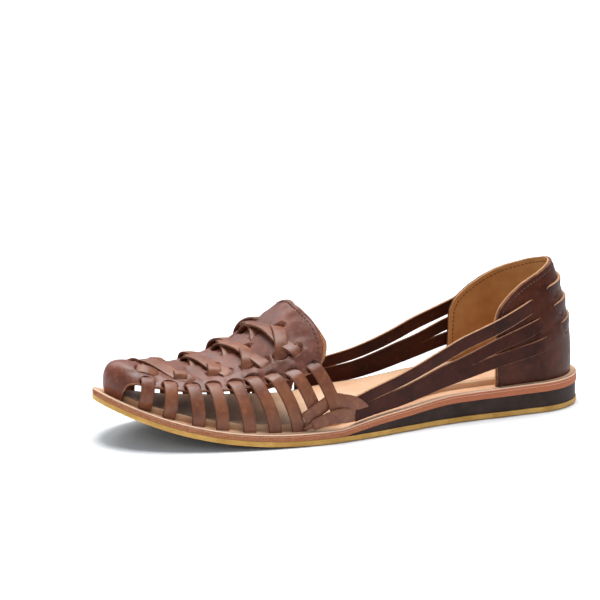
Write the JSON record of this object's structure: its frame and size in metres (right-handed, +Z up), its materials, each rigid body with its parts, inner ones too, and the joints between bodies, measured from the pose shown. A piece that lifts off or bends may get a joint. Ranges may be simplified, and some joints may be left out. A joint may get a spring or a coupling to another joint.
{
  "type": "huarache sandal",
  "caption": "Left woven leather huarache sandal: vamp panel laced with straps, quarter straps through a slotted heel counter, leather midsole on a wedge and thin outsole.",
  "frame": {"origin": "centre of the bounding box at the ground", "axes": "+X towards the heel, -X towards the toe, -Y lateral side, +Z up"},
  "size_m": [0.262, 0.0914, 0.0749],
  "materials": {
    "outsole": "matte crepe rubber",
    "wedge": "matte dark rubber",
    "midsole": "vegetable-tanned leather with raw edge",
    "insole": "natural tan leather",
    "upper_leather": "oiled brown leather, soft sheen",
    "counter_leather": "oiled brown leather, soft sheen",
    "lining": "golden tan lining leather",
    "thread": "waxed brown thread"
  },
  "bodies": {
    "root": {"outsole": "outsole", "heel_wedge": "wedge", "midsole": "midsole", "insole": "insole", "upper": "upper_leather", "heel_counter": "counter_leather"}
  },
  "joints": []
}
